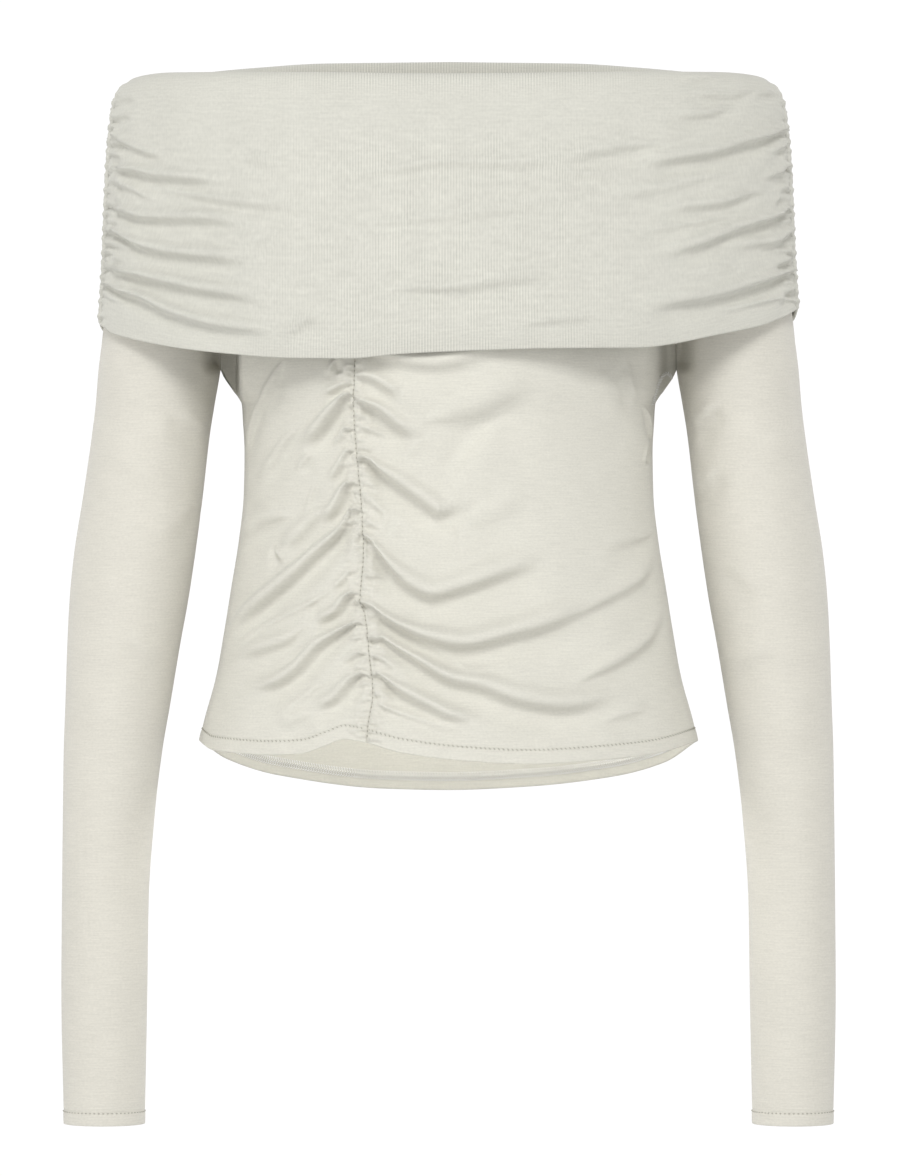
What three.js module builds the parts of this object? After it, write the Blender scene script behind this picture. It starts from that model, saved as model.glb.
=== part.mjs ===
// Off-shoulder jersey top with a deep folded collar band, long close sleeves and a ruched seam
// down the front, in the shape it takes when worn, with nobody in it.
// Millimetres. X to the viewer's right, Y away from the viewer, Z up.
// The origin is in the middle of the neck opening, level with the front of the collar's top edge.
import * as THREE from "three";

// Cloth and seams
const SEAM_GAP = 0.3; // between the edges of two cloth pieces
const BODY_WALL = 2.2; // single jersey panel
const SLEEVE_WALL = 2.2;
const COLLAR_WALL = 2.7; // the collar is folded double

// Heights that several pieces share
const NECK_SEAM = -44; // collar band sewn to body and sleeves, inside the collar
const UNDERARM = -179;
const HEM_LEVEL = -412; // mean height of the hem
const CUFF = -644;

// Angles round the top: 0 at the front, 90 at the viewer's right, 180 at the back
const NECK_SPLIT = 45; // neck ring angle where a sleeve meets the front
const COLLAR_SEAM = 82; // ruched side seams of the collar
const BACK_SQUARE = 0.06; // how far the collar's back stands out of an ellipse at its corners
const DEG = Math.PI / 180;

// Level sections of the body: half width and depth in front of and behind the side seams
const BODY = named(
  ["z", "side", "front", "back"],
  [
    [-455, 161, 102, 99],
    [-410, 154.8, 99, 96],
    [-396, 151.6, 98, 94.5],
    [-368, 144, 96, 90],
    [-340, 139, 94, 84.5],
    [-312, 134.5, 92, 79],
    [-284, 130, 90.5, 74],
    [-256, 127, 90, 70],
    [-230, 126.5, 91.5, 69],
    [-210, 127.5, 95, 72],
    [-200, 128.2, 98, 76],
    [-196, 130.2, 99, 78],
    [-191, 134, 100, 80],
    [UNDERARM, 141, 102, 85],
    [-150, 144, 105, 91],
    [-115, 150, 106, 93],
    [-80, 160, 101, 92],
    [NECK_SEAM, 188, 92, 86],
  ],
);

// Level sections of a sleeve: its outermost and innermost X, its half depth, how far its middle is
// behind the side seam, and the angle left open towards the body above the underarm
const SLEEVE = named(
  ["z", "outer", "inner", "depth", "middle", "open"],
  [
    [CUFF, 237.6, 187.7, 27.5, -15, 0],
    [-563, 239.2, 186.1, 28.5, -15, 0],
    [-507, 238.9, 185.3, 29.5, -14, 0],
    [-451, 238.4, 181.4, 31.5, -12, 0],
    [-414, 238, 177, 34, -10, 0],
    [-386, 237.1, 172.3, 36, -8, 0],
    [-349, 236, 166.2, 38.5, -6, 0],
    [-321, 234.7, 161.2, 40, -4, 0],
    [-293, 232, 157, 41, -3, 0],
    [-256, 226.3, 152.2, 41.5, -1.5, 0],
    [-219, 221, 148, 42, -0.5, 0],
    [-200, 218.7, 145, 42.5, 0, 0],
    [UNDERARM, 217, 141.4, 43, 0, 0],
    [-172, 216.2, 140.6, 43.5, 0, 11],
    [-162, 214.9, 138.8, 44, 0, 20],
    [-148, 213.4, 136, 45.5, 0, 31],
    [-115, 208, 126, 50, -0.5, 50],
    [-80, 200, 112, 56, -1.2, 66],
    [NECK_SEAM, 188, 94.4, 63.9, -2.1, 80],
  ],
);

// The collar's cross section from the neck seam, up inside, over the top fold and down to the
// bottom fold: half width at the sides, depth at the front and back, and how far below the top
// edge each step lies at the side, front and back, with the share of the way to the bottom edge
const COLLAR = named(
  ["step", "side", "front", "back", "dropSide", "dropFront", "dropBack", "share"],
  [
    [0, 188, 92, 86, 0, 0, 0, -1],
    [1, 180, 90, 84, 0, 0, 0, -0.5],
    [2, 178, 89.6, 84.6, 8, 5, 7, 0],
    [3, 184, 92, 86.3, 1.2, 0.8, 0.8, 0],
    [4, 195, 96, 89.8, 0, 0, 0, 0],
    [5, 202.5, 99.4, 93.4, 3.2, 2.6, 3.4, 0],
    [6, 207.4, 101.4, 95.6, 10.5, 9.5, 12, 0],
    [7, 210, 103.2, 96.8, 25, 25, 28, 0],
    [8, 212.2, 106.2, 98, 25, 25, 28, 0.19],
    [9, 213.8, 111.4, 99, 25, 25, 28, 0.47],
    [10, 215, 114, 98.4, 25, 25, 28, 0.72],
    [11, 216.4, 113.6, 97, 25, 25, 28, 0.91],
    [12, 217.2, 112.4, 96, 25, 25, 28, 1],
  ],
);

// Top and bottom edges of the collar round the neck
const COLLAR_EDGES = named(
  ["angle", "top", "bottom"],
  [
    [-180, 18.9, -165],
    [-157, 17.6, -165],
    [-144, 14.3, -164],
    [-128, 9, -162],
    [-112, 4.5, -158],
    [-100, 1, -153],
    [-90, -1.5, -148],
    [-82, 0.6, -150],
    [-73, 2.2, -156],
    [-64, 2.7, -160],
    [-53, 2, -165],
    [-40, 1.1, -170],
    [-26, 0, -173.5],
    [-16, -0.7, -174],
    [-8, -1.3, -171.5],
    [0, -1.5, -170],
    [15, -0.8, -168],
    [32, 0.6, -167],
    [50, 2, -158],
    [62, 2.7, -152],
    [73, 2.3, -145.5],
    [82, 0.6, -141],
    [90, -1.5, -139],
    [100, 1, -146],
    [112, 4.5, -153],
    [128, 9, -159],
    [144, 14.3, -162],
    [157, 17.6, -164],
    [180, 18.9, -165],
  ],
);

// The ruched seam on the front, from the neck seam to the hem
const RUCHED_SEAM = named(
  ["z", "x"],
  [
    [-430, -51],
    [-397, -49],
    [-378, -46],
    [-357, -48],
    [-330, -51],
    [-322, -54],
    [-294, -52],
    [-266, -53],
    [-233, -56],
    [-201, -58],
    [-174, -57],
    [NECK_SEAM, -57],
  ],
);

// The hem's bottom edge, front and back, by X
const FRONT_HEM = named(
  ["x", "z"],
  [
    [-156, -407],
    [-144, -413],
    [-109, -415],
    [-90, -414],
    [-75, -409],
    [-64, -405],
    [-51, -407],
    [-29, -413],
    [10, -418],
    [50, -420],
    [90, -418],
    [123, -415],
    [156, -407.5],
  ],
);
const BACK_HEM = named(
  ["x", "z"],
  [
    [-156, -407],
    [-138, -420],
    [-105, -431],
    [-40, -440],
    [0, -441],
    [50, -438.6],
    [102, -431.8],
    [134, -422.4],
    [156, -407.5],
  ],
);

// Folds: each runs through four points seen from the front, with half width and depth of its
// trough. A minus depth is a ridge. It starts sharply and dies out over its last part.
const FOLD = ["x0", "z0", "x1", "z1", "x2", "z2", "x3", "z3", "width", "depth"];
const MAIN_FOLDS = named(FOLD, [
  [-57, -173, -36, -177, -22, -181, 4, -180, 5, 1.2],
  [-57, -188, -49, -191, -40, -195, -29, -198, 3.6, 1.4],
  [-58, -201, -38, -211, -16, -221, 48, -196, 5.6, 3.2],
  [-57, -218, -52, -219, -47, -221, -40, -224, 3.4, 1.1],
  [-55, -237, -37, -250, -11, -270, 18, -269, 5.6, 3.2],
  [-53, -262, -48, -265, -43, -268, -38, -273, 3.4, 1.4],
  [-52, -282, -30, -310, -8, -322, 60, -297, 6.4, 3.4],
  [-53, -322, -26, -341, 18, -350, 110, -316, 6.6, 4.2],
  [-48, -345, -8, -368, 60, -387, 127, -371, 6.8, 3.8],
  [-47, -357, -43, -359, -39, -362, -34, -366, 3.4, 1.2],
  [-46, -367, -24, -380, 2, -393, 43, -403, 5.6, 2.8],
  [76, -369, 96, -360, 118, -348, 134, -332, 6, 1.6],
]);
const SIDE_FOLDS = named(FOLD, [
  [-58, -175, -72, -189, -92, -214, -111, -240, 5, -1.6],
  [-58, -190, -63, -192, -68, -194, -75, -198, 3.4, 1.2],
  [-58, -198, -68, -206, -80, -222, -90, -238, 5.2, 2.8],
  [-58, -218, -61, -220, -65, -224, -69, -230, 3.4, 1.1],
  [-57, -232, -62, -236, -69, -247, -76, -256, 3.8, 1.6],
  [-55, -252, -62, -255, -78, -272, -96, -288, 4.8, 2.6],
  [-54, -267, -66, -282, -92, -310, -131, -337, 5.6, 3.2],
  [-54, -305, -60, -309, -68, -316, -79, -322, 3.6, 1.5],
  [-54, -318, -66, -329, -92, -343, -128, -358, 5, 2.8],
  [-51, -337, -67, -344, -91, -363, -123, -379, 5.4, 3.2],
  [-48, -363, -58, -367, -75, -382, -94, -392, 5, 2],
  [-98, -173, -101, -181, -106, -191, -113, -204, 3.4, -1.2],
]);
const COLLAR_FRONT_FOLDS = named(FOLD, [
  [-208, -57, -192, -59, -168, -65, -148, -67, 4.6, 2],
  [-194, -67, -160, -75, -137, -80, -108, -83, 6, 1],
  [-211, -77, -198, -85, -163, -91, -135, -92, 5, 2],
  [-211, -95, -185, -107, -155, -113, -120, -119, 5, 2.4],
  [-213, -119, -181, -127, -150, -134, -114, -142, 5, 2.4],
  [-214, -128, -186, -140, -153, -153, -108, -162, 5, 2.4],
  [199, -2, 184, -9, 170, -13, 154, -13, 4, 1.4],
  [209, -33, 186, -41, 146, -53, 90, -61, 5, 2.4],
  [213, -50, 202, -56, 190, -60, 178, -62, 4, 1.5],
  [213, -66, 194, -72, 165, -80, 138, -88, 5, 1.5],
  [214, -78, 188, -91, 160, -103, 134, -111, 5, 2.4],
  [214, -101, 200, -103, 186, -104, 168, -108, 5, 1],
  [215, -121, 183, -131, 155, -140, 120, -147, 5, 2.4],
]);
// The hidden side is like the front, with other lengths and spacings
const COLLAR_BACK_FOLDS = named(FOLD, [
  [-209, -30, -190, -37, -160, -42, -128, -44, 5, 1.8],
  [-211, -62, -192, -70, -158, -80, -120, -86, 5, 2.2],
  [-212, -96, -194, -102, -168, -110, -140, -114, 5, 1.8],
  [-214, -122, -188, -132, -150, -146, -104, -152, 5, 2.4],
  [209, -26, 188, -34, 158, -40, 134, -41, 5, 1.6],
  [211, -54, 190, -64, 160, -72, 112, -78, 5, 2.2],
  [213, -88, 192, -98, 164, -108, 136, -111, 5, 2],
  [215, -118, 186, -130, 148, -140, 100, -148, 5, 2.4],
]);
const BACK_FOLDS = named(FOLD, [
  [-126, -214, -100, -222, -60, -230, -14, -231, 7, 1.8],
  [126, -226, 104, -232, 66, -242, 30, -245, 7, 1.8],
  [-126, -252, -104, -259, -70, -270, -34, -273, 7, 1.6],
  [127, -268, 100, -278, 62, -288, 16, -290, 7, 1.8],
]);
const RIGHT_SLEEVE_FOLDS = named(FOLD, [
  [170, -200, 163, -206, 157, -214, 151, -223, 4.5, 1.8],
  [170, -240, 165, -246, 159, -254, 153, -264, 5, 1.2],
  [205, -352, 192, -358, 180, -364, 172, -372, 6, 1],
]);
const LEFT_SLEEVE_FOLDS = named(FOLD, [
  [-172, -206, -165, -212, -158, -218, -151, -228, 5, 1.2],
  [-206, -344, -194, -352, -182, -360, -172, -366, 6, 1],
]);

// Rows of a short table as objects with named columns.
function named(names, rows) {
  return rows.map((row) => Object.fromEntries(names.map((name, i) => [name, row[i]])));
}

// A smooth line through one column of a table that never swings past its rows.
function line(rows, key, column) {
  const k = rows.map((r) => r[key]);
  const v = rows.map((r) => r[column]);
  const slope = k.slice(1).map((at, i) => (v[i + 1] - v[i]) / (at - k[i]));
  const bend = k.map((_, i) => {
    if (i === 0) return slope[0];
    if (i === k.length - 1) return slope[i - 1];
    const before = slope[i - 1];
    const after = slope[i];
    return before * after <= 0 ? 0 : (2 * before * after) / (before + after);
  });
  return (at) => {
    const t = Math.min(Math.max(at, k[0]), k[k.length - 1]);
    let i = 0;
    while (i < k.length - 2 && t > k[i + 1]) i += 1;
    const span = k[i + 1] - k[i];
    const s = (t - k[i]) / span;
    const back = 1 - s;
    return (
      v[i] * (1 + 2 * s) * back * back +
      bend[i] * span * s * back * back +
      v[i + 1] * s * s * (3 - 2 * s) -
      bend[i + 1] * span * s * s * back
    );
  };
}

const columns = (rows, key, names) =>
  Object.fromEntries(names.map((name) => [name, line(rows, key, name)]));
const body = columns(BODY, "z", ["side", "front", "back"]);
const arm = columns(SLEEVE, "z", ["outer", "inner", "depth", "middle", "open"]);
const band = columns(COLLAR, "step", ["side", "front", "back"]);
const edge = columns(COLLAR_EDGES, "angle", ["top", "bottom"]);
const seamX = line(RUCHED_SEAM, "z", "x");
const hemFront = line(FRONT_HEM, "x", "z");
const hemBack = line(BACK_HEM, "x", "z");

const mix = (a, b, t) => a + (b - a) * t;
const smooth = (t) => {
  const s = Math.min(Math.max(t, 0), 1);
  return s * s * (3 - 2 * s);
};

// A point of the sleeve on the viewer's right. Turn 0 faces front, 90 outwards, 180 back.
function sleevePoint(turn, z) {
  const outer = arm.outer(z);
  const inner = arm.inner(z);
  const open = arm.open(z);
  const round = new THREE.Vector3(
    (outer + inner) / 2 + ((outer - inner) / 2) * Math.sin(turn * DEG),
    arm.middle(z) - arm.depth(z) * Math.cos(turn * DEG),
    z,
  );
  // near the neck seam the sleeve takes the shape of the neck ring
  const share = smooth((z - UNDERARM * 0.62) / (NECK_SEAM - UNDERARM * 0.62));
  if (share === 0) return round;
  const angle = 90 + ((turn - 90) / (180 - open)) * (90 - NECK_SPLIT);
  return round.lerp(neckPoint(angle, z), share);
}

function neckPoint(angle, z) {
  const forward = Math.cos(angle * DEG);
  const depth = forward > 0 ? body.front(NECK_SEAM) : body.back(NECK_SEAM);
  return new THREE.Vector3(body.side(NECK_SEAM) * Math.sin(angle * DEG), -depth * forward, z);
}

// The body's level section at z, front (facing -1) or back (facing 1): an arc of an ellipse that
// ends at the side seam, or above the underarm at the armhole seam.
function bodySection(z, facing) {
  const depth = facing < 0 ? body.front(z) : body.back(z);
  if (z <= UNDERARM) return { side: body.side(z), depth, end: 90 };
  const turn = facing < 0 ? arm.open(z) - 90 : 270 - arm.open(z);
  const seam = sleevePoint(turn, z);
  const end = Math.acos(Math.min(Math.abs(seam.y) / depth, 1));
  return { side: (seam.x - SEAM_GAP) / Math.sin(end), depth, end: end / DEG };
}

function bodyPoint(angle, z, facing) {
  const at = bodySection(z, facing);
  return new THREE.Vector3(
    at.side * Math.sin(angle * DEG),
    facing * at.depth * Math.cos(angle * DEG),
    z,
  );
}

// Level direction straight out of an ellipse at one angle.
function levelOut(side, depth, angle, facing) {
  return new THREE.Vector3(
    Math.sin(angle * DEG) / side,
    (facing * Math.cos(angle * DEG)) / depth,
    0,
  ).normalize();
}

// Heights of the collar's cross section at one angle, as a smooth line through its steps.
const heightLines = new Map();
function collarHeight(angle, step) {
  if (!heightLines.has(angle)) {
    const atSide = Math.abs(Math.sin(angle * DEG)) ** 6;
    const facing = Math.cos(angle * DEG) > 0 ? "dropFront" : "dropBack";
    const rows = COLLAR.map((row) => {
      const start = edge.top(angle) - mix(row[facing], row.dropSide, atSide);
      const end = row.share < 0 ? NECK_SEAM + SEAM_GAP : edge.bottom(angle);
      return { step: row.step, z: mix(start, end, Math.abs(row.share)) };
    });
    heightLines.set(angle, line(rows, "step", "z"));
  }
  return heightLines.get(angle)(step);
}

// A point of the collar's outside at an angle round the neck and a step of its cross section.
function collarPoint(angle, step) {
  const s = Math.sin(angle * DEG);
  const forward = Math.cos(angle * DEG);
  const depth = forward > 0 ? band.front(step) : band.back(step);
  // behind, the collar stands squarer round the two arms
  const square = forward < 0 ? 1 + BACK_SQUARE * Math.sin(2 * angle * DEG) ** 2 : 1;
  return new THREE.Vector3(
    square * band.side(step) * s,
    -square * depth * forward,
    collarHeight(angle, step),
  );
}

function collarOut(angle, step) {
  const small = 0.02;
  const low = Math.max(step - small, 0);
  const high = Math.min(step + small, COLLAR.length - 1);
  const down = collarPoint(angle, high).sub(collarPoint(angle, low));
  const along = collarPoint(angle + 0.2, step).sub(collarPoint(angle - 0.2, step));
  return down.cross(along).normalize();
}

// Where a fold's (x, z) as seen from the front or back lies on each surface.
const onBody = (facing) => (x, z) => {
  const at = bodySection(z, facing);
  const part = Math.min(Math.abs(x) / at.side, 1);
  return new THREE.Vector3(x, facing * at.depth * Math.sqrt(1 - part * part), z);
};
const onSleeve = (x, z) => {
  const outer = arm.outer(z);
  const inner = arm.inner(z);
  const part = Math.min(Math.abs((2 * Math.abs(x) - outer - inner) / (outer - inner)), 1);
  return new THREE.Vector3(x, arm.middle(z) - arm.depth(z) * Math.sqrt(1 - part * part), z);
};
const onCollar = (facing) => (x, z) => {
  let high = 4;
  let low = COLLAR.length - 1;
  for (let i = 0; i < 20; i += 1) {
    const step = (high + low) / 2;
    const angle = collarAngle(x, step, facing);
    if (collarPoint(angle, step).z > z) high = step;
    else low = step;
  }
  return collarPoint(collarAngle(x, high, facing), high);
};
function collarAngle(x, step, facing) {
  const angle = Math.asin(Math.max(-1, Math.min(1, x / band.side(step)))) / DEG;
  if (facing < 0) return angle;
  return (x < 0 ? -180 : 180) - angle;
}

// The folds of one piece as paths on its surface.
function lay(folds, surface) {
  return folds.map((f) => {
    const seen = new THREE.CatmullRomCurve3(
      [0, 1, 2, 3].map((i) => new THREE.Vector3(f["x" + i], 0, f["z" + i])),
    );
    const path = seen.getSpacedPoints(14).map((p) => surface(p.x, p.z));
    return { ...f, path };
  });
}

// How far the folds push the cloth out (+) or in (-) at a point.
function foldAt(point, folds) {
  const nearest = new THREE.Vector3();
  const piece = new THREE.Line3();
  let out = 0;
  for (const fold of folds) {
    const last = fold.path.length - 1;
    let away = Infinity;
    let along = 0;
    let above = 0;
    for (let i = 0; i < last; i += 1) {
      piece.set(fold.path[i], fold.path[i + 1]);
      const share = piece.closestPointToPointParameter(point, true);
      piece.at(share, nearest);
      const distance = nearest.distanceTo(point);
      if (distance >= away) continue;
      away = distance;
      along = (i + share) / last;
      above = point.z - nearest.z;
    }
    const across = away / fold.width;
    if (across > 4) continue;
    const strength = fold.depth * smooth(along / 0.06 + 0.5) * smooth((1 - along) / 0.55);
    const trough = Math.exp(-across * across);
    // the cloth above a trough rolls over it
    const roll = above > 0 ? 0.45 * Math.exp(-((across - 1.7) ** 2)) : 0;
    out += strength * (roll - trough);
  }
  return out;
}

// The closed wall between an outer and an inner net of points. Rows from shutFrom on are tubes,
// whose last column is their first.
function wall(outer, inner, shutFrom = Infinity) {
  const rows = outer.length;
  const across = outer[0].length;
  const faces = [];
  const quad = (a, b, c, d) => faces.push(a, b, c, a, c, d);
  for (let r = 0; r + 1 < rows; r += 1)
    for (let c = 0; c + 1 < across; c += 1) {
      const o = [outer[r][c], outer[r + 1][c], outer[r + 1][c + 1], outer[r][c + 1]];
      const i = [inner[r][c], inner[r + 1][c], inner[r + 1][c + 1], inner[r][c + 1]];
      const turn = o[0].distanceTo(o[2]) > o[1].distanceTo(o[3]) ? 1 : 0;
      const at = (list, n) => list[(n + turn) % 4];
      quad(at(o, 0), at(o, 1), at(o, 2), at(o, 3));
      faces.push(at(i, 0), at(i, 2), at(i, 1), at(i, 0), at(i, 3), at(i, 2));
    }
  for (let c = 0; c + 1 < across; c += 1) {
    const end = rows - 1;
    quad(outer[0][c + 1], inner[0][c + 1], inner[0][c], outer[0][c]);
    quad(outer[end][c], inner[end][c], inner[end][c + 1], outer[end][c + 1]);
  }
  for (let r = 0; r < Math.min(rows - 1, shutFrom); r += 1) {
    const end = across - 1;
    quad(outer[r][0], inner[r][0], inner[r + 1][0], outer[r + 1][0]);
    quad(outer[r + 1][end], inner[r + 1][end], inner[r][end], outer[r][end]);
  }
  return new THREE.BufferGeometry().setFromPoints(faces);
}

const top = new THREE.Group();
function add(name, geometry, color, roughness) {
  geometry.computeVertexNormals();
  const material = new THREE.MeshStandardMaterial({ color, roughness, metalness: 0 });
  const mesh = new THREE.Mesh(geometry, material);
  mesh.name = name;
  top.add(mesh);
}

const steps = (count, from, to) =>
  Array.from({ length: count + 1 }, (_, i) => mix(from, to, i / count));

// Rows above the underarm are level and shared, so the two sides of an armhole seam keep together.
const ARMHOLE_ROWS = [NECK_SEAM, -62, -84, -106, -127, -146, -160, -171, UNDERARM];

// Heights of a body panel's rows: level at the underarm, along the hem's edge at the bottom.
function bodyRow(level, x, hem) {
  if (level >= UNDERARM) return level;
  const share = smooth((level - UNDERARM) / (HEM_LEVEL - UNDERARM));
  return level + share * (hem(x) - HEM_LEVEL);
}

// A body panel between two edges, each given as the angle at a height.
function bodyPanel({ facing, from, to, across, down, tight, folds, hem }) {
  const levels = ARMHOLE_ROWS.concat(steps(down, UNDERARM, HEM_LEVEL).slice(1));
  const laid = lay(folds, onBody(facing));
  const outer = [];
  const inner = [];
  for (const level of levels) {
    const outerRow = [];
    const innerRow = [];
    for (const share of steps(across, 0, 1)) {
      // columns crowd towards the ruched seam
      const t = tight > 0 ? share ** tight : 1 - (1 - share) ** -tight;
      let angle = mix(from(level), to(level), t);
      const flat = bodyPoint(angle, level, facing);
      const z = bodyRow(level, flat.x, hem);
      angle = mix(from(z), to(z), t);
      const point = bodyPoint(angle, z, facing);
      const section = bodySection(z, facing);
      const out = levelOut(section.side, section.depth, angle, facing);
      const lift = foldAt(point, laid);
      outerRow.push(point.clone().addScaledVector(out, lift));
      innerRow.push(point.clone().addScaledVector(out, lift - BODY_WALL));
    }
    // seen from the back the panel runs the other way
    outer.push(facing > 0 ? outerRow.reverse() : outerRow);
    inner.push(facing > 0 ? innerRow.reverse() : innerRow);
  }
  return wall(outer, inner);
}

// Angles of the panel edges at a height, half a seam gap back from the seam itself
function sideAngle(z, facing) {
  const at = bodySection(z, facing);
  const run = Math.hypot(at.side * Math.cos(at.end * DEG), at.depth * Math.sin(at.end * DEG));
  return at.end - (0.55 * SEAM_GAP) / run / DEG;
}
function ruchedAngle(z, away) {
  const at = bodySection(z, -1);
  return Math.asin((seamX(z) + (away * SEAM_GAP) / 2) / at.side) / DEG;
}

const CLOTH = "#e0ded2";
add(
  "front_main_panel",
  bodyPanel({
    facing: -1,
    from: (z) => ruchedAngle(z, 1),
    to: (z) => sideAngle(z, -1),
    across: 21,
    down: 37,
    tight: 1.35,
    folds: [...MAIN_FOLDS, ...SIDE_FOLDS],
    hem: hemFront,
  }),
  CLOTH,
  0.92,
);
add(
  "front_side_panel",
  bodyPanel({
    facing: -1,
    from: (z) => -sideAngle(z, -1),
    to: (z) => ruchedAngle(z, -1),
    across: 12,
    down: 37,
    tight: -1.25,
    folds: [...MAIN_FOLDS, ...SIDE_FOLDS],
    hem: hemFront,
  }),
  "#dbd9ce",
  0.92,
);
add(
  "back_panel",
  bodyPanel({
    facing: 1,
    from: (z) => -sideAngle(z, 1),
    to: (z) => sideAngle(z, 1),
    across: 16,
    down: 17,
    tight: 1,
    folds: BACK_FOLDS,
    hem: hemBack,
  }),
  "#cecbc0",
  0.92,
);

// A sleeve from the neck seam to the cuff: open towards the body down to the underarm, then a tube.
function sleeve(side, folds) {
  const across = 16;
  const below = [-190, -203, -216, -229, -244, -262, -284, -314, -350, -392, -440, -500, -570, CUFF];
  const levels = ARMHOLE_ROWS.concat(below);
  const laid = lay(folds, onSleeve);
  const outer = [];
  const inner = [];
  for (const z of levels) {
    const open = z > UNDERARM ? arm.open(z) + (0.55 * SEAM_GAP) / arm.depth(z) / DEG : 0;
    const outerRow = [];
    const innerRow = [];
    for (const turn of steps(across, open - 90, 270 - open)) {
      const point = sleevePoint(turn, z);
      const before = sleevePoint(turn - 0.5, z);
      const after = sleevePoint(turn + 0.5, z);
      const out = new THREE.Vector3(after.y - before.y, before.x - after.x, 0).normalize();
      point.x *= side;
      out.x *= side;
      const lift = foldAt(point, laid);
      outerRow.push(point.clone().addScaledVector(out, lift));
      innerRow.push(point.clone().addScaledVector(out, lift - SLEEVE_WALL));
    }
    if (z <= UNDERARM) {
      outerRow[across] = outerRow[0].clone();
      innerRow[across] = innerRow[0].clone();
    }
    outer.push(side < 0 ? outerRow.reverse() : outerRow);
    inner.push(side < 0 ? innerRow.reverse() : innerRow);
  }
  return wall(outer, inner, ARMHOLE_ROWS.length - 1);
}
add("sleeve_left", sleeve(-1, LEFT_SLEEVE_FOLDS), "#e2e0d4", 0.92);
add("sleeve_right", sleeve(1, RIGHT_SLEEVE_FOLDS), "#e2e0d4", 0.92);

// One half of the collar band between its two ruched side seams.
function collar(from, to, across, rows, folds, facing) {
  const laid = lay(folds, onCollar(facing));
  const gap = (0.5 * SEAM_GAP) / (band.front(9) * Math.sin(COLLAR_SEAM * DEG)) / DEG;
  const outer = [];
  const inner = [];
  for (const step of rows) {
    const outerRow = [];
    const innerRow = [];
    for (const angle of steps(across, from + gap, to - gap)) {
      // angles past the back come round from the other side
      const turned = angle > 180 ? angle - 360 : angle;
      const point = collarPoint(turned, step);
      const out = collarOut(turned, step);
      const lift = foldAt(point, laid) * smooth((step - 4) / 1.5);
      outerRow.push(point.clone().addScaledVector(out, lift));
      innerRow.push(point.clone().addScaledVector(out, lift - COLLAR_WALL));
    }
    outer.push(outerRow);
    inner.push(innerRow);
  }
  return wall(outer, inner);
}
const ROLL = [0, 1.4, 2.2, 2.8, 3.4, 4, 4.6, 5.3, 6.1];
add(
  "collar_front",
  collar(
    -COLLAR_SEAM,
    COLLAR_SEAM,
    26,
    ROLL.concat(steps(14, 7, 12)),
    COLLAR_FRONT_FOLDS,
    -1,
  ),
  "#dbd9d0",
  0.95,
);
add(
  "collar_back",
  collar(
    COLLAR_SEAM,
    360 - COLLAR_SEAM,
    24,
    ROLL.concat(steps(9, 7, 12)),
    COLLAR_BACK_FOLDS,
    1,
  ),
  "#cbc9c0",
  0.95,
);

export default top;
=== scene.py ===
import bpy
import numpy as np
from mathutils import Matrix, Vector


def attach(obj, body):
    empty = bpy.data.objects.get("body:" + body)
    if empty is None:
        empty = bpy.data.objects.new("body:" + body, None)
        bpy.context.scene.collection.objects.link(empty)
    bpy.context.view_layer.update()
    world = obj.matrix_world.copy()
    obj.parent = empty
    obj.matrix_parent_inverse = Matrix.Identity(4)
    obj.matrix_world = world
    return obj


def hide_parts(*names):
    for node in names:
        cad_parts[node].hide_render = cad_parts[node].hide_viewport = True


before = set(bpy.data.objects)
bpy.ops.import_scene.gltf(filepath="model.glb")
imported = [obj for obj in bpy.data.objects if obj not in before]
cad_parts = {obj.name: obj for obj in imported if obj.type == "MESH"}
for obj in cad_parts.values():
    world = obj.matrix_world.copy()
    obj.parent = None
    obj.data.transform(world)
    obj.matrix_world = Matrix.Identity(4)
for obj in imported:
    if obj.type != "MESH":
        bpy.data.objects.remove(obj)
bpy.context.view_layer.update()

# Body of the top: a front in two parts, gathered along the ruched seam between them, and a plain back.
# Single fine viscose jersey, cut and overlocked; the side seams run straight down under the arms.
# Sizes are in millimetres, in the frame's own directions: X right, Y back, Z up.
neck_seam = -44.0
neck_side = 188.0
neck_front = 92.0
neck_back = 86.0
underarm = -179.0
hem_level = -412.0
jersey_thickness = 0.9
seam_gap = 0.3
# how far the body's edge is drawn up to the sleeve along the armhole
armhole_closing = 0.2


def bends(slope):
    """Slope of a smooth line at each row of a table, from the slopes between rows: level at turns."""
    before = slope[:-1]
    after = slope[1:]
    turns = before * after <= 0
    middle = np.where(turns, 0.0, 2 * before * after / np.where(turns, 1.0, before + after))
    return np.concatenate([slope[:1], middle, slope[-1:]])


def curve_between(s, start, end, leaving, arriving):
    """The smooth curve from start to end, a share s of the way, with its slope at either end."""
    r = 1 - s
    return (start * (1 + 2 * s) + leaving * s) * r * r + (end * (3 - 2 * s) - arriving * r) * s * s


def line(keys, values):
    """A smooth line through one column of a table that never swings past its rows."""
    keys = np.array(keys, float)
    values = np.array(values, float)
    bend = bends(np.diff(values) / np.diff(keys))

    def at(key):
        key = np.clip(key, keys[0], keys[-1])
        i = np.clip(np.searchsorted(keys, key, side="right") - 1, 0, len(keys) - 2)
        span = keys[i + 1] - keys[i]
        share = (key - keys[i]) / span
        return curve_between(share, values[i], values[i + 1], bend[i] * span, bend[i + 1] * span)

    return at


def columns(names, rows):
    """The columns of a table as smooth lines by name, read at its first column."""
    by_name = dict(zip(names, zip(*rows)))
    return {name: line(by_name[names[0]], by_name[name]) for name in names[1:]}


def smooth(t):
    """A soft step: 0 up to 0, 1 from 1 on."""
    s = np.clip(t, 0, 1)
    return s * s * (3 - 2 * s)


def mix(a, b, t):
    """From a to b, a share t of the way."""
    return a + (b - a) * t


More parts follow.
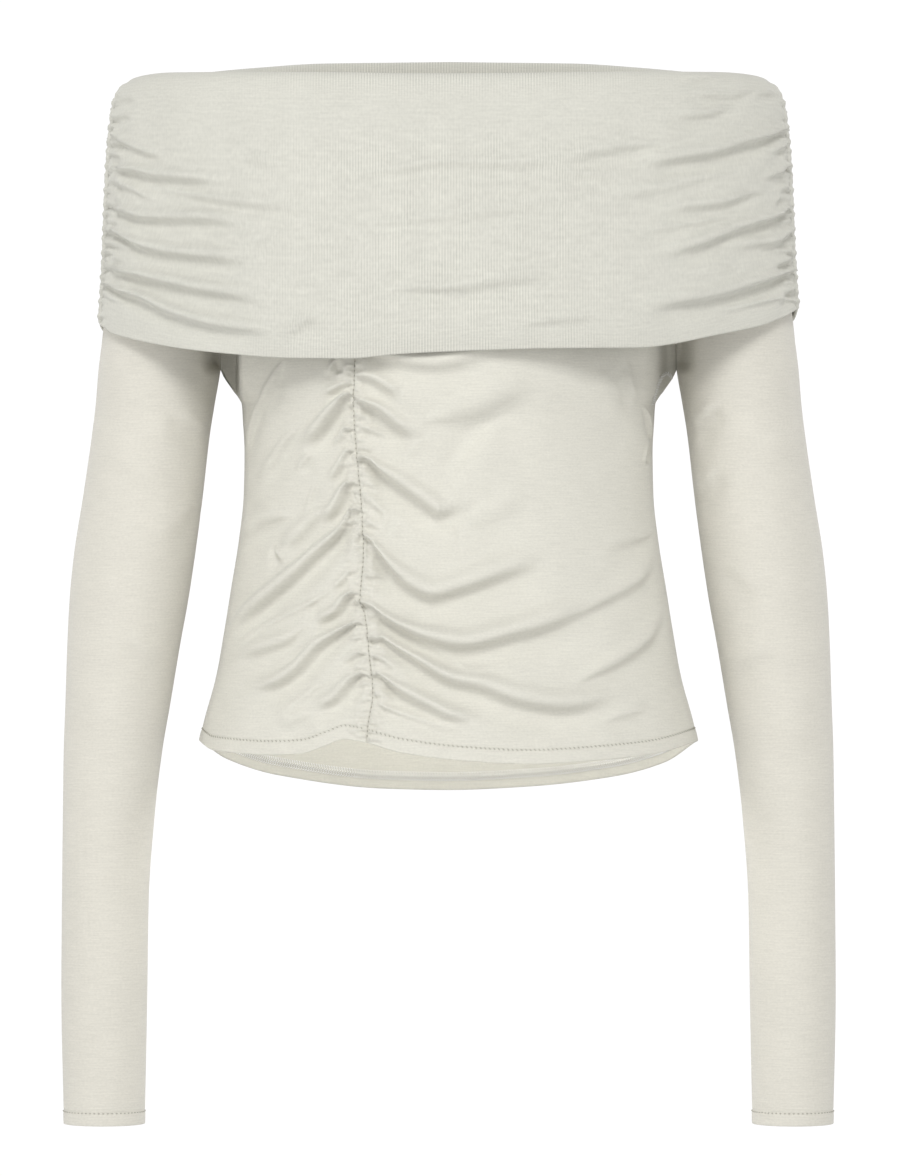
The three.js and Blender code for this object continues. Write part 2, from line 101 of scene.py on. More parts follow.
body = columns(
    ("z", "side", "front", "back"),
    [
        (-455, 161, 102, 99),
        (-410, 154.8, 99, 96),
        (-396, 151.6, 98, 94.5),
        (-368, 144, 96, 90),
        (-340, 139, 94, 84.5),
        (-312, 134.5, 92, 79),
        (-284, 130, 90.5, 74),
        (-256, 127, 90, 70),
        (-230, 126.5, 91.5, 69),
        (-210, 127.5, 95, 72),
        (-200, 128.2, 98, 76),
        (-196, 130.2, 99, 78),
        (-191, 134, 100, 80),
        (underarm, 141, 102, 85),
        (-150, 144, 105, 91),
        (-115, 150, 106, 93),
        (-80, 160, 101, 92),
        (neck_seam, neck_side, neck_front, neck_back),
    ],
)
# The sleeve's sections are here too, because the body's armholes follow them.
arm = columns(
    ("z", "outer", "inner", "depth", "middle", "open"),
    [
        (-644, 237.6, 187.7, 27.5, -15, 0),
        (-563, 239.2, 186.1, 28.5, -15, 0),
        (-507, 238.9, 185.3, 29.5, -14, 0),
        (-451, 238.4, 181.4, 31.5, -12, 0),
        (-414, 238, 177, 34, -10, 0),
        (-386, 237.1, 172.3, 36, -8, 0),
        (-349, 236, 166.2, 38.5, -6, 0),
        (-321, 234.7, 161.2, 40, -4, 0),
        (-293, 232, 157, 41, -3, 0),
        (-256, 226.3, 152.2, 41.5, -1.5, 0),
        (-219, 221, 148, 42, -0.5, 0),
        (-200, 218.7, 145, 42.5, 0, 0),
        (underarm, 217, 141.4, 43, 0, 0),
        (-172, 216.2, 140.6, 43.5, 0, 11),
        (-162, 214.9, 138.8, 44, 0, 20),
        (-148, 213.4, 136, 45.5, 0, 31),
        (-115, 208, 126, 50, -0.5, 50),
        (-80, 200, 112, 56, -1.2, 66),
        (neck_seam, neck_side, 94.4, 63.9, -2.1, 80),
    ],
)
ruched_seam = line(
    (-430, -397, -378, -357, -330, -322, -294, -266, -233, -201, -174, -44),
    (-51, -49, -46, -48, -51, -54, -52, -53, -56, -58, -57, -57),
)
front_hem = line(
    (-156, -144, -109, -90, -75, -64, -51, -29, 10, 50, 90, 123, 156),
    (-407, -413, -415, -414, -409, -405, -407, -413, -418, -420, -418, -415, -407.5),
)
back_hem = line(
    (-156, -138, -105, -40, 0, 50, 102, 134, 156),
    (-407, -420, -431, -440, -441, -438.6, -431.8, -422.4, -407.5),
)


def neck_point(angle, z):
    """A point of the neck ring at an angle in degrees: 0 in front, 90 at the viewer's right."""
    a = np.radians(angle)
    depth = np.where(np.cos(a) > 0, neck_front, neck_back)
    return np.stack([neck_side * np.sin(a), -depth * np.cos(a), z + 0 * a], -1)


def sleeve_point(turn, z):
    """A point of the sleeve on the viewer's right. Turn 0 faces front, 90 outwards, 180 back."""
    turn, z = np.broadcast_arrays(np.asarray(turn, float), np.asarray(z, float))
    outer = arm["outer"](z)
    inner = arm["inner"](z)
    a = np.radians(turn)
    x = (outer + inner) / 2 + (outer - inner) / 2 * np.sin(a)
    y = arm["middle"](z) - arm["depth"](z) * np.cos(a)
    # higher up, the sleeve runs over into its quarter of the neck ring
    start = underarm * 0.62
    share = smooth((z - start) / (neck_seam - start))[..., None]
    ring = neck_point(90 + (turn - 90) / (180 - arm["open"](z)) * 45, z)
    return mix(np.stack([x, y, z], -1), ring, share)


def body_section(z, facing):
    """Half width, depth and end angle of the body's level section in front (-1) or behind (1)."""
    z = np.asarray(z, float)
    depth = body["front"](z) if facing < 0 else body["back"](z)
    open_by = arm["open"](z)
    seam = sleeve_point(open_by - 90 if facing < 0 else 270 - open_by, z)
    end = np.arccos(np.clip(np.abs(seam[..., 1]) / depth, 0, 1))
    side = np.where(z > underarm, (seam[..., 0] + armhole_closing) / np.sin(end), body["side"](z))
    return side, depth, np.where(z > underarm, np.degrees(end), 90.0)


def flare(z, side):
    """How much wider the body is at the armpits than below them; only its very sides widen."""
    return smooth((z + 205) / 26) * (side - 128)


def body_point(angle, z, facing):
    """A point of the body at an angle in degrees from its middle, in front (-1) or behind (1)."""
    side, depth, end = body_section(z, facing)
    a = np.radians(angle)
    wider = flare(z, side) * (1 - smooth((np.abs(angle) - 40) / (end - 40)))
    return np.stack([(side - wider) * np.sin(a), facing * depth * np.cos(a), z + 0 * a], -1)


def path_through(points, count=22):
    """Points along a smooth curve through a few points, evenly spread."""
    p = np.array(points, float)
    p = np.vstack([2 * p[0] - p[1], p, 2 * p[-1] - p[-2]])
    t = np.linspace(0, len(p) - 3, 121)
    i = np.minimum(t.astype(int), len(p) - 4)
    s = (t - i)[:, None]
    a, b, c, d = p[i], p[i + 1], p[i + 2], p[i + 3]
    curve = b + 0.5 * s * (c - a + s * (2 * a - 5 * b + 4 * c - d + s * (3 * (b - c) + d - a)))
    run = np.concatenate([[0], np.cumsum(np.linalg.norm(np.diff(curve, axis=0), axis=1))])
    even = np.linspace(0, run[-1], count)
    return np.stack([np.interp(even, run, curve[:, k]) for k in range(p.shape[1])], 1)


def nearest(points, path):
    """Distance from each point to a path, the share along it, and how far above it the point is."""
    away = np.full(len(points), np.inf)
    along = np.zeros(len(points))
    above = np.zeros(len(points))
    last = len(path) - 1
    for i in range(last):
        step = path[i + 1] - path[i]
        share = np.clip((points - path[i]) @ step / max(step @ step, 1e-9), 0, 1)
        gap = points - path[i] - share[:, None] * step
        distance = np.linalg.norm(gap, axis=1)
        closer = distance < away
        away[closer] = distance[closer]
        along[closer] = (i + share[closer]) / last
        above[closer] = gap[closer, 2]
    return away, along, above


def fold_height(points, folds, surface, from_seam=True):
    """How far folds push the cloth out (+) or in (-). Each is narrow and sharp where it leaves the
    seam, widens as it runs, and dies out; the cloth above a trough rolls steeply over it and the
    cloth below rises gently. Folds that don't start at a seam fade in as they fade out."""
    flat = points.reshape(-1, 3)
    height = np.zeros(len(flat))
    for *way, width, depth in folds:
        seen = path_through(np.array(way).reshape(-1, 2))
        if from_seam:
            run = np.abs(seen[:, 0] - seen[0, 0])
            seen[:, 1] += min(0.6 * width, 2.4) * (run / 4) * np.exp(1 - run / 4)
        path = surface(seen[:, 0], seen[:, 1])
        reach = 6 * width
        low = path.min(0) - reach
        high = path.max(0) + reach
        close = np.all((flat > low) & (flat < high), axis=1).nonzero()[0]
        away, along, above = nearest(flat[close], path)
        spread = width * (0.36 + 0.64 * smooth(along / 0.35)) * (0.8 + 0.6 * along)
        across = away / spread
        begin = 0.4 + 0.6 * smooth(along / 0.22) if from_seam else smooth(along / 0.4)
        strength = depth * begin * smooth((1 - along) / 0.34)
        way_up = 2 * smooth(above / width * 2 + 0.5) - 1
        up = across * way_up
        beside = across * np.sqrt(1 - way_up**2)
        roll = 0.95 * np.exp(-(((up - 1.1) / 0.8) ** 2))
        trough = 0.85 * np.exp(-(((up + 0.55) / np.where(up > -0.55, 0.7, 2.0)) ** 2))
        crease = 0.3 * np.exp(-((across / 0.3) ** 2)) * (1 - 0.75 * smooth(along / 0.5))
        height[close] += strength * ((roll - trough) * np.exp(-(beside**2)) - crease)
    return height.reshape(points.shape[:-1])


# Folds run through points seen from the front, then give half width and depth of their trough.
front_folds = [
    (-57, -169, -45, -173, -29, -179, -11, -182, 7, -180, 31, -173, 5.2, 3.7),
    (-57, -188, -49, -189, -42, -192, -34, -197, -28, -199, 3.6, 3.7),
    (-57, -202, -48, -205, -40, -210, -32, -217, -25, -222, -20, -227, 3.9, 6.2),
    (-56, -218, -51, -219, -43, -222, -37, -224, 2.1, 1.8),
    (-55, -237, -49, -238, -42, -244, -29, -254, -16, -264, -6, -271, 4, -268, 15, -271, 4.8, 7.9),
    (-53, -262, -47, -265, -42, -269, -38, -273, 2.3, 2.1),
    (-52, -282, -47, -289, -36, -303, -25, -314, -10, -321, 7, -317, 31, -309, 65, -298, 5.7, 8.9),
    (-52, -308, -45, -309, -37, -309, -31, -307, 2.1, 1.9),
    (-53, -323, -42, -331, -29, -339, -11, -347, 10, -351, 31, -347, 65, -337, 106, -320, 5.5, 8.9),
    (-50, -333, -45, -333, -41, -334, -37, -337, 1.8, 1.4),
    (-32, -340, -17, -348, -1, -357, 10, -364, 24, -365, 43, -362, 2.1, 1.5),
    (-48, -345, -40, -347, -23, -357, -2, -371, 19, -376, 43, -385, 77, -389, 117, -378, 5.5, 7.9),
    (-47, -356, -42, -359, -37, -362, -32, -366, 2.1, 1.9),
    (-46, -367, -39, -371, -28, -379, -11, -388, 1, -394, 22, -398, 3.9, 5.9),
    (-46, -379, -42, -381, -39, -382, -35, -384, 1.8, 1.3),
    (-46, -385, -32, -391, -17, -396, -2, -401, 18, -404, 2.8, 2.1),
    (-58, -190, -63, -192, -68, -194, -72, -196, -76, -199, 1.9, 2.4),
    (-57, -198, -62, -199, -67, -206, -73, -213, -80, -222, -89, -231, 3.4, 6.2),
    (-57, -204, -61, -204, -63, -203, -65, -202, 1.3, 1.3),
    (-57, -218, -62, -219, -65, -224, -69, -230, 2, 2.4),
    (-56, -231, -61, -233, -66, -242, -73, -252, 2.2, 2.9),
    (-55, -251, -61, -253, -66, -263, -72, -272, -78, -277, 2.8, 4.9),
    (-54, -257, -58, -256, -61, -257, -64, -258, 1.3, 1.3),
    (-54, -267, -60, -270, -65, -281, -80, -295, -97, -311, -114, -325, -128, -337, -137, -349, 4.1, 7.4),
    (-54, -275, -58, -275, -61, -276, -64, -277, 1.3, 1.3),
    (-54, -293, -57, -293, -60, -294, -62, -295, 1.4, 1.4),
    (-54, -305, -60, -307, -65, -312, -70, -317, 2, 2.4),
    (-54, -318, -60, -320, -67, -329, -75, -334, -83, -338, 2.8, 4.9),
    (-53, -325, -56, -324, -59, -325, -62, -326, 1.3, 1.3),
    (-51, -336, -60, -339, -68, -343, -80, -352, -93, -366, -107, -375, -127, -379, 3.6, 6.2),
    (-51, -345, -54, -346, -57, -347, -60, -349, 1.4, 1.4),
    (-50, -354, -55, -356, -59, -358, -63, -362, 1.9, 2.2),
    (-49, -364, -54, -364, -58, -365, -61, -367, 1.4, 1.7),
    (-48, -368, -56, -370, -63, -377, -70, -384, -84, -391, 3.4, 4.5),
]
front_creases = [
    (-21, -220, -11, -215, 4, -214, 22, -210, 40, -201, 59, -192, 8.3, 3.4),
    (-15, -224, -17, -229, -19, -233, -21, -237, 3.6, 1),
    (-34, -268, -35, -272, -36, -278, -37, -283, 2.8, 1.2),
    (-27, -275, -28, -279, -30, -283, -33, -286, 2.8, 1),
    (-10, -325, 7, -328, 25, -325, 50, -319, 6.8, 1.6),
    (76, -332, 96, -324, 114, -315, 124, -306, 131, -294, 5.5, 3.4),
    (31, -355, 50, -351, 74, -346, 99, -339, 7.6, 1.9),
    (71, -377, 86, -370, 102, -363, 117, -354, 128, -343, 136, -325, 5.5, 3.9),
    (92, -397, 103, -395, 115, -392, 126, -388, 3.9, 1.8),
    (106, -170, 107, -182, 109, -195, 111, -208, 3.6, 1.8),
    (118, -201, 122, -208, 124, -216, 126, -225, 2.1, 1.5),
    (126, -221, 123, -229, 122, -235, 122, -242, 2.1, 1.3),
    (128, -278, 122, -284, 110, -288, 93, -292, 4.8, 1.9),
    (6, -277, 19, -277, 34, -272, 53, -264, 7.6, 1.6),
    (-67, -173, -69, -178, -70, -183, -69, -189, 2.1, 2),
    (-99, -173, -104, -184, -109, -194, -114, -206, 2.8, 2.1),
    (-109, -191, -116, -204, -121, -219, -125, -236, 2.8, 1.8),
    (-81, -231, -85, -235, -88, -239, -90, -245, 2.3, 1.8),
    (-88, -214, -97, -224, -106, -238, -117, -253, 3.6, 2.2),
    (-78, -248, -82, -256, -84, -264, -85, -272, 1.7, 1.2),
    (-69, -263, -80, -273, -91, -285, -103, -295, 4.8, 3.1),
    (-94, -270, -106, -274, -117, -279, -129, -290, 6.4, 3.5),
    (-108, -286, -107, -292, -104, -296, -101, -300, 2.3, 2.4),
    (-62, -308, -78, -321, -97, -331, -117, -341, -135, -356, 2.1, 1.5),
    (-82, -334, -89, -340, -98, -348, -114, -354, -137, -360, 4.6, 3.5),
    (-79, -320, -83, -325, -84, -329, -85, -334, 2.3, 1.3),
    (-77, -344, -89, -350, -97, -356, -103, -363, 1.8, 1.1),
    (-71, -370, -83, -378, -94, -386, -105, -391, 2.3, 1.2),
    (-82, -390, -89, -395, -97, -399, -105, -402, 5.2, 2.5),
    (36, -210, 24, -219, 13, -235, 1, -259, 6.8, -2.1),
    (104, -168, 105, -181, 106, -195, 108, -211, 3.9, -1.2),
]
back_folds = [
    (-126, -214, -100, -222, -60, -230, -14, -231, 7, 4),
    (126, -226, 104, -232, 66, -242, 30, -245, 7, 4),
    (-126, -252, -104, -259, -70, -270, -34, -273, 7, 3.5),
    (127, -268, 100, -278, 62, -288, 16, -290, 7, 4),
    (-131, -300, -112, -312, -84, -322, -52, -326, 6, 2.5),
    (133, -318, 112, -327, 86, -338, 60, -342, 6, 2.2),
    (-92, -200, -70, -204, -40, -212, -8, -214, 8, 2),
    (-30, -330, -34, -360, -40, -390, -44, -420, 9, 2),
    (48, -336, 52, -362, 56, -388, 60, -415, 9, 2),
]


def tucks(seed, top, bottom, pitch, seam, way, longest, drop):
    """Small tucks that the gathering thread leaves all along a seam, uneven in length and depth."""
    chance = np.random.default_rng(seed)
    made = []
    z = top
    while z > bottom:
        size = chance.uniform(0.35, 1)
        x = seam(z)
        reach = way * longest * size
        fall = drop * size * chance.uniform(0.3, 1)
        row = [x, z, x + reach * 0.3, z - fall * 0.15, x + reach * 0.65, z - fall * 0.5, x + reach, z - fall]
        made.append((*row, mix(1.1, 1.9, size), mix(0.7, 1.5, size)))
        z -= pitch * chance.uniform(0.6, 1.5)
    return made


front_folds += tucks(3, -180, -408, 4.2, ruched_seam, 1, 12, 6)
front_folds += tucks(8, -180, -408, 4.2, ruched_seam, -1, 11, 7)


def underarm_tuck(points, lowest):
    """How far the cloth is drawn back under each arm, in front: sharply at the viewer's left."""
    x, y, z = points[..., 0], points[..., 1], points[..., 2]
    away = np.abs(x)
    deepest = 36
    highest = -135
    sharp = smooth((away - 127) / 5)
    gentle = 0.75 * smooth((away - 121) / 15)
    across = np.where(x < 0, sharp, gentle) * (1 - smooth((away - 143) / 10))
    level = smooth((z - lowest) / 3) * smooth((highest - z) / 15)
    return np.clip(2 - y, 0, deepest) * across * level


def on_body(facing):
    """Where X and Z seen from the front or back lie on the body."""
    share = np.linspace(0, 1, 60)

    def at(x, z):
        end = body_section(z, facing)[2]
        half = body_point(share * end[:, None], z[:, None], facing)
        y = [np.interp(abs(px), row[:, 0], row[:, 1]) for px, row in zip(x, half)]
        return np.stack([x, y, z], -1)

    return at


def cloth(name, outer, inner, weave, shut_from=None):
    """A thin closed shell between an outer and an inner net of points, with rounded top and bottom
    edges. Rows from shut_from on are tubes. weave keeps each point's place in the flat cloth."""
    rows, across = outer.shape[:2]
    round_edge = []
    for end in (rows - 1, 0):
        middle = (outer[end] + inner[end]) / 2
        half = (outer[end] - inner[end]) / 2
        away = outer[end] - outer[end - 1 if end else 1]
        away /= np.linalg.norm(away, axis=-1, keepdims=True)
        reach = np.linalg.norm(half, axis=-1, keepdims=True)
        turns = np.radians([45, 90, 135])
        arc = [middle + half * np.cos(t) + away * reach * np.sin(t) for t in turns]
        round_edge.append(arc if end else arc[::-1])
    ring = np.stack([*outer, *round_edge[0], *inner[::-1], *round_edge[1]])
    size = len(ring)
    number = np.arange(size * across).reshape(size, across)
    lower = range(rows, rows + 3)
    inner_row = 2 * rows + 2
    if shut_from is not None:
        tube = [*range(shut_from, rows), *lower, *range(rows + 3, inner_row - shut_from + 1)]
        number[tube, -1] = number[tube, 0]
    below = np.roll(number, -1, axis=0)
    quads = np.stack([number[:, :-1], below[:, :-1], below[:, 1:], number[:, 1:]], -1).reshape(-1, 4)
    caps = []
    for r in range(rows - 1 if shut_from is None else shut_from):
        for c, turn in ((0, 1), (-1, -1)):
            cap = [number[r, c], number[inner_row - r, c], number[inner_row - r - 1, c], number[r + 1, c]]
            caps.append([int(i) for i in cap][::turn])
    ends = [[*range(size - 3, size), 0, inner_row]]
    if shut_from is None:
        ends.append([rows - 1, *lower, rows + 3])
    for end in ends:
        caps.append([int(number[i, 0]) for i in end][::-1])
        caps.append([int(number[i, -1]) for i in end])
    used, at = np.unique(np.concatenate([quads.ravel(), [i for c in caps for i in c]]), return_inverse=True)
    mesh = bpy.data.meshes.new(name)
    faces = at[: quads.size].reshape(-1, 4).tolist()
    rest = iter(at[quads.size :].tolist())
    faces += [[next(rest) for _ in c] for c in caps]
    mesh.from_pydata((ring.reshape(-1, 3)[used] / 1000).tolist(), [], faces)
    mesh.shade_smooth()
    flat = np.stack([*weave, *[weave[-1]] * 3, *weave[::-1], *[weave[0]] * 3]).reshape(-1, 3)[used]
    mesh.attributes.new("weave", "FLOAT_VECTOR", "POINT").data.foreach_set("vector", flat.ravel())
    made = bpy.data.objects.new(name, mesh)
    bpy.context.scene.collection.objects.link(made)
    return made


def arc_length(points):
    """Running length along each row of a net, counted from the row's middle."""
    step = np.linalg.norm(np.diff(points, axis=1), axis=-1)
    run = np.concatenate([np.zeros((len(points), 1)), np.cumsum(step, axis=1)], axis=1)
    return run - run[:, -1:] / 2


def jersey(name, colour, rib=0.0):
    """Fine viscose jersey: pale heathered yarn with faint streaks across, upright wales that show
    where the cloth is pulled taut, a soft matt nap and a fuzz of bump."""
    made = bpy.data.materials.new(name)
    made.use_nodes = True
    nodes = made.node_tree.nodes
    link = made.node_tree.links.new
    shader = nodes["Principled BSDF"]
    shader.inputs["Roughness"].default_value = 0.86
    shader.inputs["Specular IOR Level"].default_value = 0.25
    shader.inputs["Sheen Weight"].default_value = 0.22
    shader.inputs["Sheen Roughness"].default_value = 0.5

    def node(kind, **values):
        new = nodes.new(kind)
        for key, value in values.items():
            if hasattr(new, key):
                setattr(new, key, value)
            else:
                new.inputs[key.replace("_", " ")].default_value = value
        return new

    def maths(operation, first, second):
        new = node("ShaderNodeMath", operation=operation)
        for socket, value in zip(new.inputs, (first, second)):
            if isinstance(value, (int, float)):
                socket.default_value = value
            else:
                link(value, socket)
        return new.outputs[0]

    place = node("ShaderNodeAttribute", attribute_name="weave")
    split = node("ShaderNodeSeparateXYZ")
    link(place.outputs["Vector"], split.inputs[0])

    def noise(across, up, detail):
        """Noise on the flat cloth with its grain so many millimetres wide and high."""
        join = node("ShaderNodeCombineXYZ")
        link(maths("MULTIPLY", split.outputs[0], 1 / across), join.inputs[0])
        link(maths("MULTIPLY", split.outputs[1], 1 / up), join.inputs[1])
        grain = node("ShaderNodeTexNoise", Scale=1.0, Detail=detail)
        link(join.outputs[0], grain.inputs["Vector"])
        return maths("SUBTRACT", grain.outputs["Fac"], 0.5)

    streaks = maths("MULTIPLY", noise(14, 0.9, 3.0), 0.8)
    fibres = maths("MULTIPLY", noise(1.8, 1.1, 3.0), 0.85)
    clouds = maths("MULTIPLY", noise(38, 26, 2.0), 0.30)
    wale = maths("SINE", maths("MULTIPLY", split.outputs[0], 2 * np.pi / 1.75), 0)
    uneven = maths("ADD", maths("MULTIPLY", noise(9, 12, 2.0), 2.4), 0.8)
    wales = maths("MULTIPLY", maths("MULTIPLY", wale, split.outputs[2]), uneven)
    tone = maths("ADD", maths("ADD", streaks, fibres), clouds)
    shade = maths("ADD", maths("MULTIPLY", tone, 0.26), maths("MULTIPLY", wales, 0.15 * rib))
    bright = maths("ADD", shade, 1.0)
    paint = node("ShaderNodeVectorMath", operation="SCALE")
    paint.inputs[0].default_value = colour
    link(bright, paint.inputs["Scale"])
    link(paint.outputs[0], shader.inputs["Base Color"])
    relief = maths("ADD", maths("MULTIPLY", noise(0.7, 0.5, 2.0), 0.5), maths("MULTIPLY", wales, 0.35))
    bump = node("ShaderNodeBump", Strength=0.35, Distance=0.00025)
    link(relief, bump.inputs["Height"])
    link(bump.outputs[0], shader.inputs["Normal"])
    return made


def linear(red, green, blue):
    """A colour read as 0 to 255 in linear light."""
    return tuple(((c / 255 + 0.055) / 1.055) ** 2.4 for c in (red, green, blue))


def stitches(name, path, out, material, slot, pitch=2.8, length=1.4, radius=0.34, sway=0.0):
    """A row of stitches along a path over the cloth: short threads that dip into it at both ends."""
    run = np.concatenate([[0], np.cumsum(np.linalg.norm(np.diff(path, axis=0), axis=1))])
    middles = np.arange(pitch / 2, run[-1] - pitch / 2, pitch)
    part = np.linspace(-0.5, 0.5, 5)
    where = middles[:, None] + part * length
    centre = np.stack([np.interp(where, run, path[:, k]) for k in range(3)], -1)
    lift = np.stack([np.interp(where, run, out[:, k]) for k in range(3)], -1)
    along = np.gradient(centre, axis=1)
    along /= np.linalg.norm(along, axis=-1, keepdims=True)
    across = np.cross(along, lift)
    swing = sway * np.linspace(-1, 1, 5)[None, :]
    centre = centre + across * swing[..., None]
    centre = centre + lift * (radius * 1.6 * np.cos(np.pi * part) - 0.1)[None, :, None]
    thick = radius * np.array([0.4, 0.9, 1, 0.9, 0.4])[None, :, None, None]
    turns = np.radians(np.arange(5) * 72.0)[None, None, :, None]
    round_about = np.cos(turns) * lift[:, :, None] + np.sin(turns) * across[:, :, None]
    ring = centre[:, :, None] + thick * round_about
    number = np.arange(ring.size // 3).reshape(ring.shape[:3])
    aside = np.roll(number, -1, axis=2)
    quads = np.stack([number[:, :-1], aside[:, :-1], aside[:, 1:], number[:, 1:]], -1).reshape(-1, 4)
    caps = np.concatenate([number[:, 0, ::-1], number[:, -1]])
    mesh = bpy.data.meshes.new(name)
    mesh.from_pydata((ring.reshape(-1, 3) / 1000).tolist(), [], quads.tolist() + caps.tolist())
    mesh.shade_smooth()
    made = bpy.data.objects.new(name, mesh)
    bpy.context.scene.collection.objects.link(made)
    made.data.materials.append(material)
    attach(made, "root")


def plain(name, colour, roughness):
    """A plain finish in one colour of linear light."""
    made = bpy.data.materials.new(name)
    made.use_nodes = True
    shader = made.node_tree.nodes["Principled BSDF"]
    shader.inputs["Base Color"].default_value = (*colour, 1)
    shader.inputs["Roughness"].default_value = roughness
    return made


# The sewing thread is darker than the cloth: it is the thread, and its dark grey is also painted shade in
# the stitch holes.
thread = plain("sewing_thread_painted_hole_shade", (0.36, 0.35, 0.30), 0.6)
chain_thread = plain("chain_thread", (0.86, 0.86, 0.86), 0.6)
body_jersey = jersey("body_jersey", linear(203, 201, 191))
collar_edge = -165.0
deepest_fold = 6.5
hem_fold = 8.6
hem_stitching = 7.8


def body_rows(count):
    """Heights of a panel's rows: coarse under the collar, fine on show, finest at the hem."""
    hem_top = hem_level + 14
    hidden = np.linspace(neck_seam, collar_edge, 34)[:-1]
    shown = np.linspace(collar_edge, hem_top, count)[:-1]
    return np.concatenate([hidden, shown, np.linspace(hem_top, hem_level, 26)])


def side_angle(z, facing):
    """Where a panel ends at the side seam or the armhole, just short of it."""
    side, depth, end = body_section(z, facing)
    run = np.hypot(side * np.cos(np.radians(end)), depth * np.sin(np.radians(end)))
    return end - np.degrees(0.1 * seam_gap / run)


def ruched_angle(z, away):
    """Where a front panel ends at the ruched seam: away is 1 for the main part, -1 for the side part."""
    side = body_section(z, -1)[0]
    return np.degrees(np.arcsin((ruched_seam(z) + away * seam_gap / 8) / (side - flare(z, side))))


def panel(name, facing, first, last, share, rows, folds, creases, hem):
    """A body panel between two edges. share spreads its columns from 0 to 1. It returns its outer
    net of points and the way out at each, which the stitches on the ruched seam follow."""
    levels = body_rows(rows)[:, None] + 0 * share[None, :]
    angle = mix(first(levels), last(levels), share)
    x = body_point(angle, levels, facing)[..., 0]
    drop = smooth((levels - underarm) / (hem_level - underarm))
    z = np.where(levels > underarm, levels, levels + drop * (hem(x) - hem_level))
    angle = mix(first(z), last(z), share)
    base = body_point(angle, z, facing)
    side, depth, _ = body_section(z, facing)
    a = np.radians(angle)
    out = np.stack([np.sin(a) / side, facing * np.cos(a) / depth, 0 * a], -1)
    out /= np.linalg.norm(out, axis=-1, keepdims=True)
    height = fold_height(base, folds, on_body(facing))
    height += fold_height(base, creases, on_body(facing), from_seam=False)
    height = deepest_fold * np.tanh(height / deepest_fold)
    run = arc_length(base)
    from_hem = base[..., 2] - hem(base[..., 0])
    # the hem is turned up: double below its stitch line, which sinks in a little
    height += 0.35 * smooth((hem_fold - from_hem) / 1.2)
    height -= 0.45 * np.exp(-(((from_hem - hem_stitching) / 0.9) ** 2))
    to_first = np.abs(run - run[:, :1])
    to_last = np.abs(run - run[:, -1:])
    for to_seam in (to_first, to_last):
        height -= 0.5 * np.exp(-((to_seam / 1.6) ** 2))
    if facing < 0:
        to_ruching = to_first if name == "front_main" else to_last
        height *= mix(0.4, 1, smooth(to_ruching / 2))
        height += 1.2 * np.exp(-(((to_ruching - 5) / 4) ** 2)) - 0.7 * np.exp(-((to_ruching / 0.9) ** 2))
    weave = np.stack([run, z, 0.15 + 0 * z], -1)
    outer = base + out * height[..., None]
    outer[..., 1] += underarm_tuck(base, -208)
    inner = outer - out * jersey_thickness
    # inside, the turned-up hem is a second layer
    inner -= out * (0.5 * smooth((hem_fold - from_hem) / 0.5))[..., None]
    hem_row = np.argmin(np.abs(from_hem[:, len(share) // 2] - hem_stitching))
    stitches(name + "_hem_stitches", outer[hem_row], out[hem_row], thread, "body_jersey", sway=0.6)
    # inside, the machine leaves a flat chain 5 mm wide over the raw edge; it shows on the back
    if facing > 0:
        for row, swing in ((-4, 0.5), (-2, 0.9), (0, -0.9), (2, 0.9), (4, -0.5)):
            chain = inner[hem_row + row], -out[hem_row + row], chain_thread, "body_jersey"
            stitches(f"back_hem_chain_{row + 5}", *chain, pitch=1.7, length=1.5, radius=0.3, sway=swing)
        outer = outer[:, ::-1]
        inner = inner[:, ::-1]
        weave = weave[:, ::-1]
    made = cloth(name + "_cloth", outer, inner, weave)
    made.data.materials.append(body_jersey)
    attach(made, "root")
    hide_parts(name + "_panel")
    return outer, out


main_net, main_out = panel(
    "front_main", -1, lambda z: ruched_angle(z, 1), lambda z: side_angle(z, -1),
    np.linspace(0, 1, 152) ** 1.35, 226, front_folds, front_creases, front_hem,
)
side_net, _ = panel(
    "front_side", -1, lambda z: -side_angle(z, -1), lambda z: ruched_angle(z, -1),
    1 - np.linspace(1, 0, 104) ** 1.25, 226, front_folds, front_creases, front_hem,
)
panel(
    "back", 1, lambda z: -side_angle(z, 1), lambda z: side_angle(z, 1),
    np.linspace(0, 1, 130), 120, [], back_folds, back_hem,
)

on_show = slice(30, None)
seam_middle = (main_net[on_show, 0] + side_net[on_show, -1]) / 2
stitches(
    "ruched_seam_stitches", seam_middle, main_out[on_show, 0], thread, "body_jersey",
    pitch=3.0, length=1.2, radius=0.32,
)

# Sleeves: one piece each, close and long, with a single seam under the arm that winds to the
# front of the wrist. The same jersey, set into a deep armhole up to the neck seam under the collar.
# Its colour is a little darker than the body's: painted shade on the same jersey.
sleeve_jersey = jersey("sleeve_jersey", linear(201, 198, 188))
cuff = -644.0
cuff_fold = 8.4
cuff_stitching = 7.6
# Soft folds of the viewer's left (-1) and right (1) sleeve, written as the body's
sleeve_folds = {
    -1: [
        (-172, -206, -165, -212, -158, -218, -151, -228, 5, 1.9),
        (-206, -344, -194, -352, -182, -360, -172, -366, 6, 1.6),
        (-214, -238, -200, -244, -186, -252, -170, -254, 8, 1),
        (-150, -262, -158, -268, -166, -278, -178, -286, 6, 1.1),
        (-232, -392, -220, -398, -206, -400, -192, -396, 7, 0.8),
    ],
    1: [
        (170, -200, 163, -206, 157, -214, 151, -223, 3.6, 3.2),
        (170, -240, 165, -246, 159, -254, 153, -264, 4.4, 2.2),
        (205, -352, 192, -358, 180, -364, 172, -372, 6, 1.6),
        (222, -226, 208, -232, 192, -236, 176, -234, 8, 1),
        (166, -300, 174, -306, 184, -316, 196, -322, 6, 1.1),
        (236, -404, 222, -410, 208, -410, 194, -404, 7, 0.8),
    ],
}
